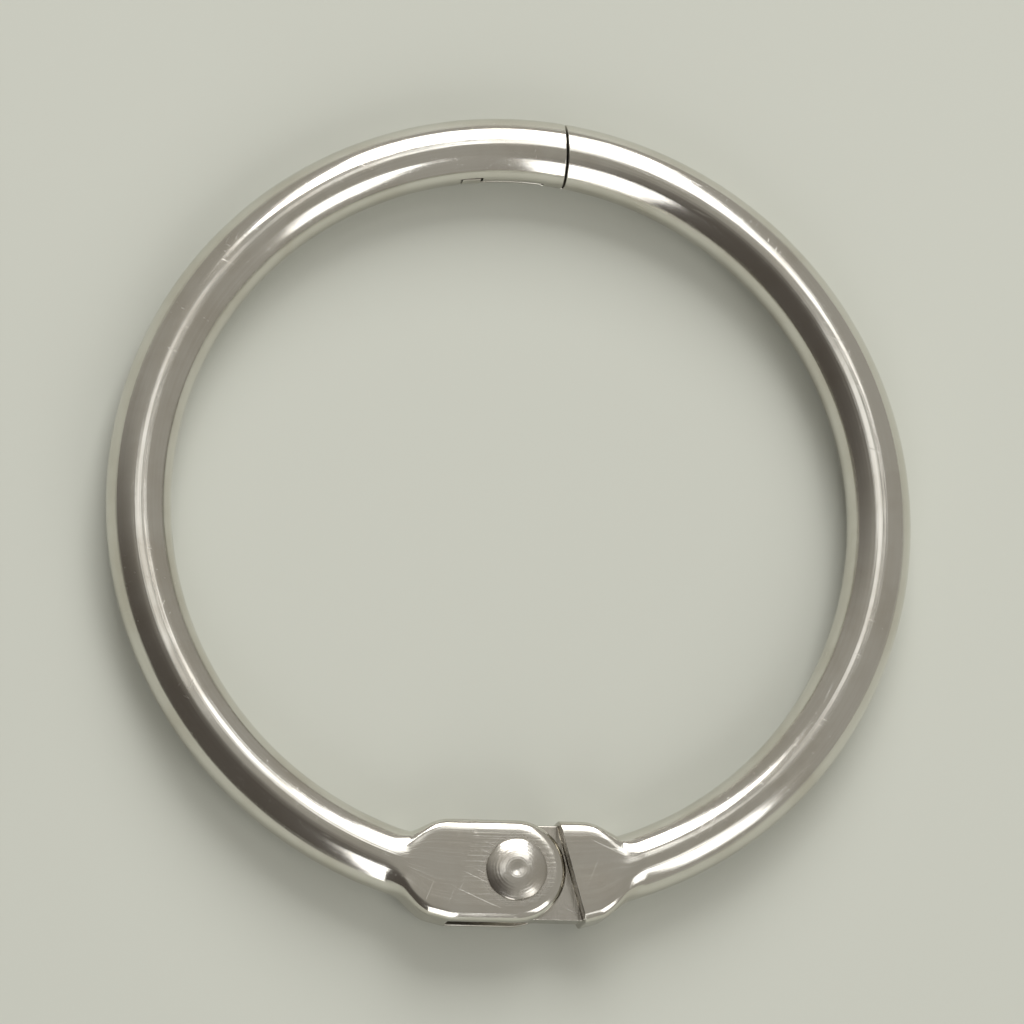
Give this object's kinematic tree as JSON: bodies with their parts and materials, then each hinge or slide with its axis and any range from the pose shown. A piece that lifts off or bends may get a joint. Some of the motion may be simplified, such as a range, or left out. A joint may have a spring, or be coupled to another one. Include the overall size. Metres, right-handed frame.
{
  "type": "binder ring",
  "caption": "Hinged wire ring for loose sheets: two half rings riveted together at a fork and tongue hinge, closed by a hooked half-lap.",
  "frame": {"origin": "centre of the closed ring's wire circle, on the middle plane of the wire; the flattened hinge ends reach 0.25 mm past the wire's outer edge, so the middle of the bounding box is 0.13 mm from it", "axes": "+Z along the axis of the ring, at right angles to its plane; +Y from the hinge to the closure; the forked half is on the -X side"},
  "size_m": [0.0226, 0.0228, 0.002],
  "materials": {
    "nickel_wire": "drawn steel wire with bright nickel plating, finely scuffed",
    "nickel_rivet": "bright nickel plating, worn at the peened heads"
  },
  "bodies": {
    "fixed_half": {"fork_half": "nickel_wire", "hinge_rivet": "nickel_rivet"},
    "swing_half": {"tongue_half": "nickel_wire"}
  },
  "joints": [
    {"name": "ring_hinge", "type": "hinge", "parent": "fixed_half", "child": "swing_half", "pos_m": [0, -0.01015, 0], "axis": [0, 0, -1], "range_deg": [0, 105]}
  ]
}
